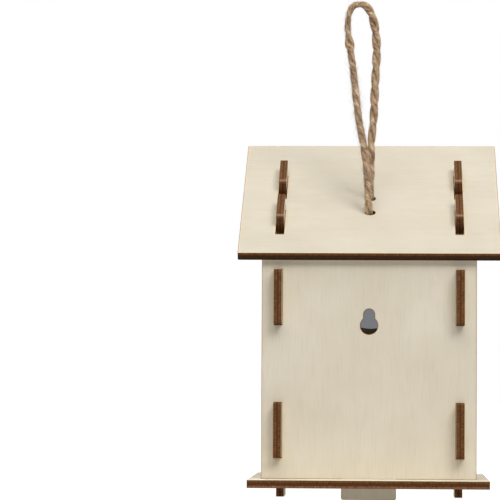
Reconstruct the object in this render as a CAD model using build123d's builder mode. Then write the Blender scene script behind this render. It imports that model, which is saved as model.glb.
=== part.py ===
from build123d import *
from math import cos, pi, radians, sin, tan
import os

os.makedirs("parts", exist_ok=True)

# A hanging bird feeder, slotted together from six panels of 4 mm plywood.
# X is to the right seen from behind, +Y is the front, Z is up. The feeder
# stands on the four tabs under its base, and its box is centred on X = Y = 0.

# panels
T = 4.0                # plywood thickness
SLOT_W = 4.2           # slot width in the walls and the base
TAB_L = 28.0           # length of every tab
TAB_OUT = 6.5          # how far a tab stands out past the panel it goes through
CORNER = 1.0           # radius on the panels' and tabs' corners

# house
YC = 7.5               # middle of the house, in front of the origin
HALF_IN = 45.0         # half of the depth inside
HALF_OUT = HALF_IN + T
SIDE_IN = 44.6         # half of the width inside
SIDE_OUT = SIDE_IN + T
WALL_HALF_W = 55.0     # half width of the back and front walls
SLOT_X = SIDE_IN + T / 2          # slots for the side walls' tabs
SLOT_Y = HALF_IN + T / 2          # slots for the back and front walls' tabs
BASE_Z = TAB_OUT       # underside of the base
FLOOR_Z = BASE_Z + T   # top of the base
BASE_HALF_W = 61.2
BASE_BACK = -65.48     # 24 mm behind the back wall
BASE_FRONT = 62.5      # 6 mm past the front wall

# roof: s runs up the slope from the low edge, h is the height above the underside
PITCH = 30.0
ROOF_Y0 = YC - 52.0    # low edge, underside
ROOF_Z0 = 122.3
ROOF_HALF_W = 67.4
ROOF_L = 127.0
ROOF_SLOTS = (21.2, 61.8)   # low ends of the two rows of slots
ROOF_SLOT_W = 4.3
NECK_S = 9.2           # from a slot's low end to the hook's low edge
LIP_L = 6.5            # how far a hook's lip reaches over the roof
LIP_GAP = 0.3          # under the lip
SLOT_END = 0.2         # between the neck and the slot's upper end
SEAT = 0.1             # between the walls' tops and the roof
TRAVEL = 9.0           # the roof slides this far up before the hooks are free
HOLE_R = 2.75
HOLES_S = (46.0, 62.5)

# walls
BACK_TOP = 123.8
FRONT_TOP = 178.0
LOW_TABS_Z = 21.3
BACK_TABS_Z = (LOW_TABS_Z, 89.4)
FRONT_TABS_Z = (LOW_TABS_Z, 131.0)

# keyhole in the back wall, entrance in the front wall
KEY_Z, KEY_R = 89.0, 4.5
KEY_SLOT_R, KEY_SLOT_Z = 2.9, 94.7
ENTRY_R, ENTRY_Z = 22.5, 111.5

# twine
CORD_D = 4.0
KNOT_R, KNOT_L, TAIL_L = 4.6, 8.0, 10.0

cs, sn = cos(radians(PITCH)), sin(radians(PITCH))
UP_SLOPE = Vector(0, cs, sn)
ROOF_N = Vector(0, -sn, cs)
LOW_CORNER = Vector(0, ROOF_Y0, ROOF_Z0)


def on_roof(s, h, x=0.0):
    """The point at s up the slope and h above the underside."""
    return LOW_CORNER + UP_SLOPE * s + ROOF_N * h + Vector(x, 0, 0)


def side_profile(s, h):
    p = on_roof(s, h)
    return (p.Y, p.Z)


def under_roof(y):
    """Height of a side wall's top edge at y."""
    return ROOF_Z0 + (y - ROOF_Y0) * tan(radians(PITCH)) - SEAT / cs


# base: a plate with a slot for each wall's bottom tab
with BuildPart() as base:
    with BuildSketch(Plane.XY.offset(BASE_Z)):
        with Locations((0, (BASE_BACK + BASE_FRONT) / 2)):
            RectangleRounded(2 * BASE_HALF_W, BASE_FRONT - BASE_BACK, CORNER)
        with Locations((-SLOT_X, YC), (SLOT_X, YC)):
            Rectangle(SLOT_W, TAB_L + 0.3, mode=Mode.SUBTRACT)
        with Locations((0, YC - SLOT_Y), (0, YC + SLOT_Y)):
            Rectangle(TAB_L + 0.3, SLOT_W, mode=Mode.SUBTRACT)
    extrude(amount=T)

# back wall: stands on the base, one tab through it, keyhole for a screw head
with BuildPart() as back_wall:
    with BuildSketch(Plane.XZ.offset(HALF_OUT - YC)) as back_face:
        with Locations((0, (FLOOR_Z + BACK_TOP) / 2)):
            Rectangle(2 * WALL_HALF_W, BACK_TOP - FLOOR_Z)
        with Locations((0, FLOOR_Z / 2)):
            Rectangle(TAB_L, FLOOR_Z)
        fillet(back_face.vertices().group_by(Axis.Y)[0], CORNER)
        for z in BACK_TABS_Z:
            with Locations((-SLOT_X, z + TAB_L / 2), (SLOT_X, z + TAB_L / 2)):
                Rectangle(SLOT_W, TAB_L + 0.3, mode=Mode.SUBTRACT)
        with Locations((0, KEY_Z)):
            Circle(KEY_R, mode=Mode.SUBTRACT)
        with Locations((0, KEY_SLOT_Z)):
            Circle(KEY_SLOT_R, mode=Mode.SUBTRACT)
        with Locations((0, (KEY_Z + KEY_SLOT_Z) / 2)):
            Rectangle(2 * KEY_SLOT_R, KEY_SLOT_Z - KEY_Z, mode=Mode.SUBTRACT)
    extrude(amount=-T)

# front wall: taller, with the round entrance
with BuildPart() as front_wall:
    with BuildSketch(Plane.XZ.offset(-HALF_IN - YC)) as front_face:
        with Locations((0, (FLOOR_Z + FRONT_TOP) / 2)):
            Rectangle(2 * WALL_HALF_W, FRONT_TOP - FLOOR_Z)
        with Locations((0, FLOOR_Z / 2)):
            Rectangle(TAB_L, FLOOR_Z)
        fillet(front_face.vertices().group_by(Axis.Y)[0], CORNER)
        for z in FRONT_TABS_Z:
            with Locations((-SLOT_X, z + TAB_L / 2), (SLOT_X, z + TAB_L / 2)):
                Rectangle(SLOT_W, TAB_L + 0.3, mode=Mode.SUBTRACT)
        with Locations((0, ENTRY_Z)):
            Circle(ENTRY_R, mode=Mode.SUBTRACT)
    extrude(amount=-T)


def side_wall_outline():
    """Outline of a side wall in (y, z), anticlockwise from its low back corner."""
    back, front = YC - HALF_IN, YC + HALF_IN
    back_tip, front_tip = YC - HALF_OUT - TAB_OUT, YC + HALF_OUT + TAB_OUT
    points = [(back, FLOOR_Z), (YC - TAB_L / 2, FLOOR_Z), (YC - TAB_L / 2, 0)]
    points += [(YC + TAB_L / 2, 0), (YC + TAB_L / 2, FLOOR_Z), (front, FLOOR_Z)]
    for z in FRONT_TABS_Z:
        points += [(front, z), (front_tip, z), (front_tip, z + TAB_L), (front, z + TAB_L)]
    points += [(front, under_roof(front))]
    top = T + TAB_OUT
    for s in reversed(ROOF_SLOTS):
        neck, end = s + NECK_S, s + TAB_L - SLOT_END
        points += [side_profile(end, -SEAT), side_profile(end, T + LIP_GAP)]
        points += [side_profile(end + LIP_L, T + LIP_GAP), side_profile(end + LIP_L, top)]
        points += [side_profile(neck, top), side_profile(neck, -SEAT)]
    points += [(back, under_roof(back))]
    for z in reversed(BACK_TABS_Z):
        points += [(back, z + TAB_L), (back_tip, z + TAB_L), (back_tip, z), (back, z)]
    return points


# side walls: tabs through the back, the front and the base, and two hooks that
# come up through the roof's slots and lie over it on the uphill side
for name, x0 in (("left_side_wall", -SIDE_OUT), ("right_side_wall", SIDE_IN)):
    with BuildPart() as side_wall:
        with BuildSketch(Plane.YZ.offset(x0)) as side_face:
            Polygon(*side_wall_outline(), align=None)
            fillet(side_face.vertices().group_by(Axis.X)[0], CORNER)
            fillet(side_face.vertices().group_by(Axis.X)[-1], CORNER)
            fillet(side_face.vertices().group_by(Axis.Y)[0], CORNER)
            tips = []
            for s in ROOF_SLOTS:
                for at in (s + NECK_S, s + TAB_L - SLOT_END + LIP_L):
                    tip = side_profile(at, T + TAB_OUT)
                    tips.append(side_face.vertices().sort_by_distance(tip)[0])
            fillet(tips, CORNER)
        extrude(amount=T)
    side_wall.part.label = name
    export_step(side_wall.part, f"parts/{name}.step")

# roof: one sloping plate with four slots for the hooks and two holes for the twine
with BuildPart() as roof:
    with BuildSketch(Plane(LOW_CORNER, x_dir=(1, 0, 0), z_dir=ROOF_N)):
        with Locations((0, ROOF_L / 2)):
            RectangleRounded(2 * ROOF_HALF_W, ROOF_L, CORNER)
        for s in ROOF_SLOTS:
            x = SIDE_OUT + 0.1 - ROOF_SLOT_W / 2
            with Locations((-x, s + TAB_L / 2), (x, s + TAB_L / 2)):
                Rectangle(ROOF_SLOT_W, TAB_L, mode=Mode.SUBTRACT)
        with Locations((0, HOLES_S[0]), (0, HOLES_S[1])):
            Circle(HOLE_R, mode=Mode.SUBTRACT)
    extrude(amount=T)

# twine: from under the lower hole up the left leg, over, and down the right leg
ROUTE = [
    on_roof(HOLES_S[0], 0.0),
    on_roof(HOLES_S[0], 8.4),
    Vector(-1.2, -7.8, 166.5),
    Vector(-2.2, -5.6, 182.0),
    Vector(-5.9, -3.8, 199.0),
    Vector(-8.3, -2.6, 219.0),
    Vector(-10.9, -1.8, 236.5),
    Vector(-12.7, -1.5, 248.6),
    Vector(-10.2, -0.8, 259.3),
    Vector(-1.8, 0.4, 259.4),
    Vector(2.2, 1.3, 249.2),
    Vector(3.9, 1.7, 235.0),
    Vector(2.6, 2.1, 216.0),
    Vector(2.3, 2.4, 200.0),
    Vector(0.9, 2.9, 186.0),
    Vector(0.8, 4.1, 173.0),
    on_roof(HOLES_S[1], 8.4),
    on_roof(HOLES_S[1], 0.0),
]


def arc_radii(route):
    """Each corner's arc takes 0.45 of the shorter of its two runs."""
    radii = []
    for a, b, c in zip(route, route[1:], route[2:]):
        half_turn = radians((b - a).get_angle(c - b)) / 2
        radii.append(0.45 * min((b - a).length, (c - b).length) / tan(half_turn))
    return radii


RADII = arc_radii(ROUTE)
with BuildPart() as hanging_cord:
    with BuildLine() as cord_path:
        FilletPolyline(*ROUTE, radius=RADII)
    with BuildSketch(Plane(cord_path.line @ 0, z_dir=cord_path.line % 0)):
        Circle(CORD_D / 2)
    sweep()
print("cord arc radii, mm:", [round(r, 1) for r in RADII])
cord_length = sum(edge.length for edge in cord_path.edges())
section_volume = pi * (CORD_D / 2) ** 2 * cord_length
print("cord length, mm:", round(cord_length, 1))
print("volume over section x length:", round(hanging_cord.part.volume / section_volume, 5))

# stopper knots: the twine's two ends, knotted under the roof, with short tails
for name, s in (("knot_lower", HOLES_S[0]), ("knot_upper", HOLES_S[1])):
    with BuildPart() as knot:
        with BuildSketch(Plane(on_roof(s, 0), x_dir=(1, 0, 0), z_dir=(0, -cs, -sn))):
            with BuildLine():
                Line((0, 0), (3.4, 0))
                ThreePointArc((3.4, 0), (KNOT_R, -KNOT_L / 2), (2.2, -KNOT_L))
                Line((2.2, -KNOT_L), (2.2, -KNOT_L - TAIL_L))
                Line((2.2, -KNOT_L - TAIL_L), (0, -KNOT_L - TAIL_L))
                Line((0, -KNOT_L - TAIL_L), (0, 0))
            make_face()
        revolve(axis=Axis(on_roof(s, 0), ROOF_N))
    knot.part.label = name
    export_step(knot.part, f"parts/{name}.step")

for name, piece in (
    ("base", base),
    ("back_wall", back_wall),
    ("front_wall", front_wall),
    ("roof", roof),
    ("hanging_cord", hanging_cord),
):
    piece.part.label = name
    export_step(piece.part, f"parts/{name}.step")
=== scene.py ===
# %% [markdown]
# # A slotted plywood bird feeder and its twine
# The feeder is a kit of six laser-cut plywood panels that hook into each other, with
# a jute loop through the roof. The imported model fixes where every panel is. These cells
# give the panels their veneer and scorched edges, and the loop its twisted plies.

import bpy
import numpy as np
from mathutils import Matrix, Vector
from mathutils.geometry import delaunay_2d_cdt


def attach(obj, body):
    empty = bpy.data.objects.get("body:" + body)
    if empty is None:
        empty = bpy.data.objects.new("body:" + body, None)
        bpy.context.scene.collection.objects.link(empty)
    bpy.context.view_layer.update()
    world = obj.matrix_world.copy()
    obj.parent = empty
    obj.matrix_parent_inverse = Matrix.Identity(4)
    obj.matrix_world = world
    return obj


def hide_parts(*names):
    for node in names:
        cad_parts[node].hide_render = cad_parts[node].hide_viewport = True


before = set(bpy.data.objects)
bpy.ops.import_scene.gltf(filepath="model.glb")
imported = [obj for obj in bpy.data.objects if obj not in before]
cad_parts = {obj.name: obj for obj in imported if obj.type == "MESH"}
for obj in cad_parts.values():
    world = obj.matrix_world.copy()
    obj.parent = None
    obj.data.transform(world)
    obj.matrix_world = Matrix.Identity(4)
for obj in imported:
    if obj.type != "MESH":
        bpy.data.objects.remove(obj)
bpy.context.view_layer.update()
scene = bpy.context.scene

# %% [markdown]
# ## Camera
# The feeder is seen from behind, from about 1.5 m with a long lens, just above its
# tray. The camera is built from three directions: its right, its up and where it looks.

# %% Camera
YAW, PITCH, ROLL = 0.0480, 0.0427, 0.0054
FOCAL_WIDTHS = 3006.7 / 500  # the focal length, in widths of the frame
look = Vector((-np.sin(YAW) * np.cos(PITCH), np.cos(YAW) * np.cos(PITCH), np.sin(PITCH)))
level = Vector((np.cos(YAW), np.sin(YAW), 0))
eye = Vector((0.01276, -1.5815, 0.06165))
right = level * np.cos(ROLL) + level.cross(look) * np.sin(ROLL)
camera_data = bpy.data.cameras.new("camera")
camera_data.lens = FOCAL_WIDTHS * camera_data.sensor_width
camera_data.clip_end = 60
camera = bpy.data.objects.new("camera", camera_data)
turn = Matrix((right, right.cross(look), -look)).transposed()
camera.matrix_world = Matrix.Translation(eye) @ turn.to_4x4()
scene.collection.objects.link(camera)
scene.camera = camera
print("lens", round(camera_data.lens, 1), "mm")

# %% [markdown]
# ## Meshes from arrays
# Every new surface below is worked out as arrays of points and of quads or triangles.
# One helper puts such arrays into a mesh, with its attributes and its UV map.


# %% Mesh helper
def mesh_object(name, points, faces, values=(), uv=None, smooth=False):
    """An object from points (n, 3) and faces (m, 3 or 4). values holds pairs of an
    attribute's name and its one number per point; uv has two numbers per point."""
    mesh = bpy.data.meshes.new(name)
    mesh.from_pydata(np.asarray(points).tolist(), [], [list(face) for face in faces])
    for label, numbers in values:
        layer = mesh.attributes.new(label, "FLOAT", "POINT")
        layer.data.foreach_set("value", np.asarray(numbers, np.float32))
    if uv is not None:
        corner = np.zeros(len(mesh.loops), np.int32)
        mesh.loops.foreach_get("vertex_index", corner)
        layer = mesh.uv_layers.new(name="UVMap")
        layer.data.foreach_set("uv", np.asarray(uv, np.float32)[corner].ravel())
    mesh.polygons.foreach_set("use_smooth", np.full(len(mesh.polygons), smooth))
    mesh.update()
    made = bpy.data.objects.new(name, mesh)
    scene.collection.objects.link(made)
    print(name, len(mesh.vertices), "points", len(mesh.polygons), "faces")
    return made


def grid_faces(rows, columns, close_rows=False):
    """Quads between neighbouring rings of a tube: rows rings of columns points each.
    A ring always closes on itself; close_rows also joins the last ring to the first."""
    r = np.arange(rows if close_rows else rows - 1)[:, None]
    c = np.arange(columns)[None, :]
    r2, c2 = (r + 1) % rows, (c + 1) % columns
    quads = [r * columns + c, r * columns + c2, r2 * columns + c2, r2 * columns + c]
    return np.stack(np.broadcast_arrays(*quads), -1).reshape(-1, 4)


def joined(parts):
    """Several (points, faces, uv) as one, with the faces renumbered."""
    starts = np.cumsum([0] + [len(points) for points, _, _ in parts])
    faces = [
        [start + i for i in face]
        for (_, some, _), start in zip(parts, starts)
        for face in some
    ]
    return np.vstack([p for p, _, _ in parts]), faces, np.vstack([u for _, _, u in parts])


# %% [markdown]
# ## The twine's route
# The loop comes up through the lower hole, goes over, and returns down the upper hole.
# Its middle line is a NURBS curve, smooth by nature, with a few control points. The
# plies are wound around points read back from that curve.

# %% Middle line of the loop
ROUTE = [
    (-0.0006, -0.00466, 0.1453),
    (-0.0006, -0.00886, 0.15257),
    (-0.0014, -0.0078, 0.1665),
    (-0.0029, -0.0056, 0.182),
    (-0.0065, -0.0038, 0.199),
    (-0.0085, -0.0026, 0.219),
    (-0.0109, -0.0018, 0.2365),
    (-0.0127, -0.0015, 0.2486),
    (-0.0102, -0.0008, 0.2593),
    (-0.0018, 0.0004, 0.2594),
    (0.0022, 0.0013, 0.2492),
    (0.0034, 0.0017, 0.235),
    (0.0022, 0.0021, 0.216),
    (0.0018, 0.0024, 0.2),
    (0.0002, 0.0029, 0.186),
    (0.0004, 0.0041, 0.173),
    (-0.0002, 0.00543, 0.16082),
    (-0.0002, 0.00963, 0.15355),
]


def nurbs_line(route, name, step=0.0005):
    """Points about a step apart along the NURBS curve with these control points."""
    curve = bpy.data.curves.new(name, "CURVE")
    curve.dimensions = "3D"
    curve.resolution_u = 24
    spline = curve.splines.new("NURBS")
    spline.points.add(len(route) - 1)
    spline.points.foreach_set("co", np.c_[route, np.ones(len(route))].ravel())
    spline.order_u = 3
    spline.use_endpoint_u = True
    holder = bpy.data.objects.new(name, curve)
    line = bpy.data.meshes.new_from_object(holder)
    points = np.zeros(len(line.vertices) * 3)
    line.vertices.foreach_get("co", points)
    bpy.data.meshes.remove(line)
    bpy.data.curves.remove(curve)
    return even_steps(points.reshape(-1, 3), step)


def even_steps(points, step):
    """The same line with its points a step apart."""
    along = np.r_[0, np.cumsum(np.linalg.norm(np.diff(points, axis=0), axis=1))]
    at = np.linspace(0, along[-1], int(round(along[-1] / step)) + 1)
    return np.stack([np.interp(at, along, points[:, k]) for k in range(3)], 1)


loop_line = nurbs_line(ROUTE, "loop_line")
loop_length = np.linalg.norm(np.diff(loop_line, axis=0), axis=1).sum()
print("twine loop", round(float(loop_length), 4), "m,", len(loop_line), "points")

# %% [markdown]
# ## Winding the plies
# Jute garden twine is two soft plies laid together to the left, so on the near side the
# plies run down to the right. Each ply is a squashed round of yarns that turn
# the other way. A tube whose section changes as it goes along the line gives both, and
# it is lighter than a tube for each yarn.


# %% Ply surfaces
def across_frames(line, reference):
    """Two unit directions across a line at each point: the reference direction less
    its part along the line, and the cross product of the line's direction with that."""
    tangent = np.gradient(line, axis=0)
    tangent /= np.linalg.norm(tangent, axis=1)[:, None]
    first = reference - (tangent @ reference)[:, None] * tangent
    first /= np.linalg.norm(first, axis=1)[:, None]
    return first, np.cross(tangent, first)


def ply(
    line, reference, turn, off, section, seed,
    sides=28, yarns=7, closed=False, swell=1.0, spread=1.0,
):
    """One ply. Its middle is at off from the line, in the direction at angle turn (one
    per point). Around it runs an ellipse with half axes section = (radial, sideways),
    swollen by each yarn, by slow waves along the line and by a little chance. All of it
    is scaled by swell, and off by spread, each one number or one per point."""
    rng = np.random.default_rng(seed)
    first, second = across_frames(line, reference)
    s = np.r_[0, np.cumsum(np.linalg.norm(np.diff(line, axis=0), axis=1))][:, None]
    around = np.linspace(0, 2 * np.pi, sides, endpoint=False)[None]
    start = rng.uniform(0, 2 * np.pi, 4)
    out = np.cos(turn)[:, None] * first + np.sin(turn)[:, None] * second
    side = -np.sin(turn)[:, None] * first + np.cos(turn)[:, None] * second
    size = 1 + 0.05 * np.sin(s / 0.0043 + start[0]) + 0.03 * np.sin(s / 0.0017 + start[1])
    yarn = np.cos(yarns * around + 2 * np.pi * s / 0.0115 + start[2])
    size = size * (1 + 0.06 * yarn + 0.025 * rng.standard_normal((len(line), sides)))
    swell, spread = (np.broadcast_to(v, len(line))[:, None] for v in (swell, spread))
    radial = swell * (off * spread + section[0] * np.cos(around) * size)
    sideways = swell * section[1] * np.sin(around) * size
    rings = line[:, None] + radial[..., None] * out[:, None]
    rings = rings + sideways[..., None] * side[:, None]
    uv = np.stack(np.broadcast_arrays(s * 100 + seed, around / (2 * np.pi)), -1).reshape(-1, 2)
    faces = grid_faces(len(line), sides, closed).tolist()
    if not closed:
        last = (len(line) - 1) * sides
        faces += [list(range(sides))[::-1], list(range(last, last + sides))]
    return rings.reshape(-1, 3), faces, uv


def twine(line, reference, lay, phase, seed, **shape):
    """Two plies half a turn apart, turning to the left once in each lay."""
    s = np.r_[0, np.cumsum(np.linalg.norm(np.diff(line, axis=0), axis=1))]
    turn = phase - 2 * np.pi * s / lay + 0.5 * np.sin(s / 0.023 + seed)
    plies = [ply(line, reference, turn + np.pi * k, seed=seed + k, **shape) for k in range(2)]
    return joined(plies)


LAY = 0.0195  # the length in which the plies turn once
TWINE = {"off": 0.00095, "section": (0.00106, 0.00140)}
SIDEWAYS = np.array([0.0, 1.0, 0.0])
# Shares of the loop's length, from the lower hole, with the twine's size there: it has
# one slub on the way up, is pulled thin over the top, and is thicker on the way down.
SIZE_AT = [(0, 1), (0.25, 0.95), (0.34, 0.92), (0.392, 0.9), (0.403, 1.26), (0.416, 1.2)]
SIZE_AT += [(0.428, 0.86), (0.485, 0.76), (0.52, 0.88), (0.56, 1.12), (0.62, 1.1)]
SIZE_AT += [(0.78, 1.12), (0.86, 1.0), (1, 1)]
# The same shares with the distance between the plies: they open a little after the top.
OPEN_AT = [(0, 1), (0.52, 1), (0.555, 1.12), (0.6, 1.1), (0.64, 1), (1, 1)]
share = np.linspace(0, 1, len(loop_line))
swell, spread = (np.interp(share, *np.transpose(table)) for table in (SIZE_AT, OPEN_AT))
points, faces, uv = twine(loop_line, SIDEWAYS, LAY, 0.6, 4, swell=swell, spread=spread, **TWINE)
loop = mesh_object("twine_loop", points, faces, uv=uv, smooth=True)

# %% [markdown]
# ## Loose fibres
# Jute sheds short stiff hairs. Each hair is a thin three-sided tube of five rings, closed
# at both ends, that leaves the surface almost along the twine and curls away. A particle
# system could grow them, but arrays make plain faces, all at once and the same each time.


# %% Hairs
HAIR_RINGS, HAIR_SIDES = 5, 3


def hairs(line, count, radius, longest, seed, thick=0.00005):
    """Hairs on a line. Each starts at a random place and angle, a little under radius
    from the line. At share t of its own length it has gone length * t along the line and
    rise * t^1.6 outwards, with a sideways curl of curl * t^2. Its tube narrows to a tenth."""
    rng = np.random.default_rng(seed)
    at = rng.integers(2, len(line) - 2, count)
    tangent = np.gradient(line, axis=0)[at]
    tangent /= np.linalg.norm(tangent, axis=1)[:, None]
    any_way = rng.standard_normal((count, 3))
    out = any_way - (any_way * tangent).sum(1)[:, None] * tangent
    out /= np.linalg.norm(out, axis=1)[:, None]
    side = np.cross(tangent, out)
    length = longest * rng.uniform(0.15, 1, (count, 1, 1)) ** 1.6
    rise = length * rng.uniform(0.05, 0.75, (count, 1, 1)) ** 1.5
    curl = length * rng.uniform(-0.5, 0.5, (count, 1, 1))
    way = rng.choice([-1.0, 1.0], (count, 1, 1))
    t = np.linspace(0, 1, HAIR_RINGS)[None, :, None]
    root = line[at][:, None] + 0.85 * radius * out[:, None]
    spine = root + way * length * t * tangent[:, None]
    spine = spine + rise * t**1.6 * out[:, None] + curl * t**2 * side[:, None]
    ring = np.linspace(0, 2 * np.pi, HAIR_SIDES, endpoint=False)[None, None, :, None]
    around = np.cos(ring) * out[:, None, None]
    around = around + way[..., None] * np.sin(ring) * side[:, None, None]
    tube = spine[:, :, None] + thick * (1 - 0.9 * t[..., None]) * around
    per_hair = HAIR_RINGS * HAIR_SIDES
    first = per_hair * np.arange(count)[:, None]
    last = first + per_hair - HAIR_SIDES
    tube_faces = grid_faces(HAIR_RINGS, HAIR_SIDES)[None] + first[..., None]
    faces = tube_faces.reshape(-1, 4).tolist()
    faces += np.vstack([first + (2, 1, 0), last + (0, 1, 2)]).tolist()
    uv = np.repeat(rng.uniform(0, 50, (count, 2)), per_hair, axis=0)
    return tube.reshape(-1, 3), faces, uv


# The way up, the first third of the loop, is the hairiest: it gets a thousand more.
rising = loop_line[: int(0.36 * len(loop_line))]
points, faces, uv = joined([
    hairs(loop_line, 1300, 0.0018, 0.0070, seed=8),
    hairs(rising, 1000, 0.0018, 0.0085, seed=9, thick=0.00007),
    hairs(loop_line, 2800, 0.0019, 0.0028, seed=10, thick=0.00009),
])
loop_hairs = mesh_object("twine_hairs", points, faces, uv=uv, smooth=True)

# %% [markdown]
# ## Stopper knots
# Under the roof each end is tied in an overhand knot, too thick for its hole, and the
# cut tail frays. A trefoil curve is an overhand knot with its ends joined, so the knot
# is a trefoil of twine drawn tight, with a straight piece of twine through it as the tail.

# %% Knots
SLOPE = np.pi / 6
UP_SLOPE = np.array([0.0, np.cos(SLOPE), 0.5])
ROOF_NORMAL = np.array([0.0, -0.5, np.cos(SLOPE)])
KNOT_SIZE, KNOT_DROP = 0.00093, 0.0040
TAIL_RINGS, TAIL_LENGTH = 36, 0.0165
ACROSS = np.array([1.0, 0.0, 0.0])


def in_hole(points, start):
    """Points (across, up the slope, out of the roof) moved to a hole's underside."""
    return start + points @ np.array([ACROSS, UP_SLOPE, ROOF_NORMAL])


def stopper_knot(start, seed):
    """A trefoil of twine: (sin t + 2 sin 2t, cos t - 2 cos 2t, -sin 3t), flattened
    and drawn small, 4 mm under the hole, with a tail of twine 17 mm long. The plies turn
    twice to the left in one round of the trefoil."""
    t = np.linspace(0, 2 * np.pi, 150, endpoint=False)[:, None]
    flat = np.c_[np.sin(t) + 2 * np.sin(2 * t), np.cos(t) - 2 * np.cos(2 * t)] * KNOT_SIZE
    ring = in_hole(np.c_[flat, -KNOT_DROP - 0.0019 * np.sin(3 * t)], start)
    shape = {"off": 0.00075, "section": (0.00085, 0.00130)}
    turn = -2 * t[:, 0]
    knot = [
        ply(ring, ROOF_NORMAL, turn + np.pi * k, seed=seed + k, closed=True, **shape)
        for k in range(2)
    ]
    drop = np.linspace(0, 1, TAIL_RINGS)[:, None]
    sway = np.c_[0.0008 * np.sin(5 * drop), 0.0007 * drop**2, -0.0005 - TAIL_LENGTH * drop]
    tail = in_hole(sway, start)
    knot.append(twine(tail, ACROSS, LAY, seed, seed + 2, off=0.0008, section=(0.0009, 0.0013)))
    below_knot = tail[14:]
    knot.append(hairs(below_knot, 160, 0.0015, 0.0060, seed + 5))
    return joined(knot)


knots = {}
for name, start, seed in (("knot_lower", ROUTE[0], 21), ("knot_upper", ROUTE[-1], 31)):
    points, faces, uv = stopper_knot(np.array(start), seed)
    knots[name] = mesh_object("stopper_" + name, points, faces, uv=uv, smooth=True)

# %% [markdown]
# ## Panels
# Each panel is a flat outline with holes, 4 mm thick. To draw the scorched rim
# exactly, every point of a panel knows how far it is from the nearest cut, and on the cut
# itself where it lies through the thickness. The face is filled with triangles that are
# small near the cuts, and the cut's own surface is a short profile carried round
# the outline. The corner between them is eased by a tenth of a millimetre.

# %% Outlines
T = 0.004  # the sheet
STEP = 0.0011  # the longest side of an outline's mesh


def along_loop(corners, step=STEP):
    """The closed loop through these corners with points at least every step, and none
    of them less than 0.2 mm from a corner, so that the eased rim can't cross itself."""
    closed = np.vstack([corners, corners[:1]])
    s = np.r_[0, np.cumsum(np.linalg.norm(np.diff(closed, axis=0), axis=1))]
    between = np.arange(0, s[-1] - step / 3, step)
    between = between[np.abs(between[:, None] - s).min(1) > 0.0002]
    at = np.unique(np.round(np.r_[s[:-1], between], 7))
    at = at[np.r_[True, np.diff(at) > 3e-5]]
    return np.stack([np.interp(at, s, closed[:, k]) for k in range(2)], 1)


def rounded(corners, radii):
    """A polygon in mm, as a loop in metres whose corners are arcs. An arc of radius r
    touches both sides r / tan(half the angle) from its corner."""
    p = np.asarray(corners, float) / 1000
    r = np.maximum(np.broadcast_to(radii, len(p)) / 1000, 1e-6)[:, None]
    back, on = np.roll(p, 1, 0) - p, np.roll(p, -1, 0) - p
    back /= np.linalg.norm(back, axis=1)[:, None]
    on /= np.linalg.norm(on, axis=1)[:, None]
    half = np.arccos(np.clip((back * on).sum(1), -1, 1))[:, None] / 2
    middle = back + on
    middle /= np.linalg.norm(middle, axis=1)[:, None]
    centre = p + middle * r / np.sin(half)
    e0, e1 = p + back * r / np.tan(half) - centre, p + on * r / np.tan(half) - centre
    sweep, f = (np.pi - 2 * half)[:, None], np.linspace(0, 1, 6)[None, :, None]
    arc = np.sin((1 - f) * sweep) * e0[:, None] + np.sin(f * sweep) * e1[:, None]
    return along_loop((centre[:, None] + arc / np.sin(sweep)).reshape(-1, 2))


def box_loop(u0, u1, v0, v1, radii=0.15):
    """The rectangle from (u0, v0) to (u1, v1) in mm, with its corners rounded."""
    return rounded([(u0, v0), (u1, v0), (u1, v1), (u0, v1)], radii)


def round_loop(u, v, radius):
    """The circle (u + radius cos a, v + radius sin a), given in mm."""
    a = np.linspace(0, 2 * np.pi, 160, endpoint=False)
    return along_loop(np.c_[u + radius * np.cos(a), v + radius * np.sin(a)] / 1000)


# %% [markdown]
# Two questions come up for many points at once: how far is each from the nearest cut,
# and does it lie in the wood? Both are answered for whole blocks of points.


# %% Distance and inside
def from_loops(points, loops):
    """Distance from each point to the nearest side of any loop."""
    a = np.vstack(loops)
    d = np.vstack([np.roll(loop, -1, 0) for loop in loops]) - a
    best = np.full(len(points), np.inf)
    for block in np.array_split(np.arange(len(points)), 1 + len(points) // 2000):
        to = points[block][:, None] - a[None]
        share = np.clip((to * d).sum(-1) / np.maximum((d * d).sum(-1), 1e-15), 0, 1)
        best[block] = np.linalg.norm(to - share[..., None] * d, axis=-1).min(1)
    return best


def inside(points, loops):
    """True where a ray to the right crosses the loops an odd number of times."""
    a = np.vstack(loops)
    b = np.vstack([np.roll(loop, -1, 0) for loop in loops])
    rise = np.where(b[:, 1] == a[:, 1], 1, b[:, 1] - a[:, 1])
    found = np.zeros(len(points), bool)
    for block in np.array_split(np.arange(len(points)), 1 + len(points) // 2000):
        x, y = points[block, :1], points[block, 1:]
        spans = (a[:, 1] > y) != (b[:, 1] > y)
        hit = a[:, 0] + (y - a[:, 1]) / rise * (b[:, 0] - a[:, 0])
        found[block] = (spans & (hit > x)).sum(1) % 2 == 1
    return found


def inward(loop, anticlockwise):
    """Unit directions into the panel: the loop's own direction turned a quarter."""
    along = np.roll(loop, -1, 0) - np.roll(loop, 1, 0)
    along /= np.linalg.norm(along, axis=1)[:, None]
    return np.c_[-along[:, 1], along[:, 0]] * (1 if anticlockwise else -1)


# %% [markdown]
# Filling a face is a constrained Delaunay triangulation: the rims are fixed edges, and
# the points inside are rows set in from the cuts and then a coarse grid. Blender could
# fill the outline with one big face, but that has no points to carry the distances.

# %% Filled face
ROWS = (0.0005, 0.0011, 0.0021)  # rows of points, by their distance from the cut
GRID = 0.0028  # the coarse grid's spacing
CLEAR = 0.00033  # the least distance from the rim to a point of the filling


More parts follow.
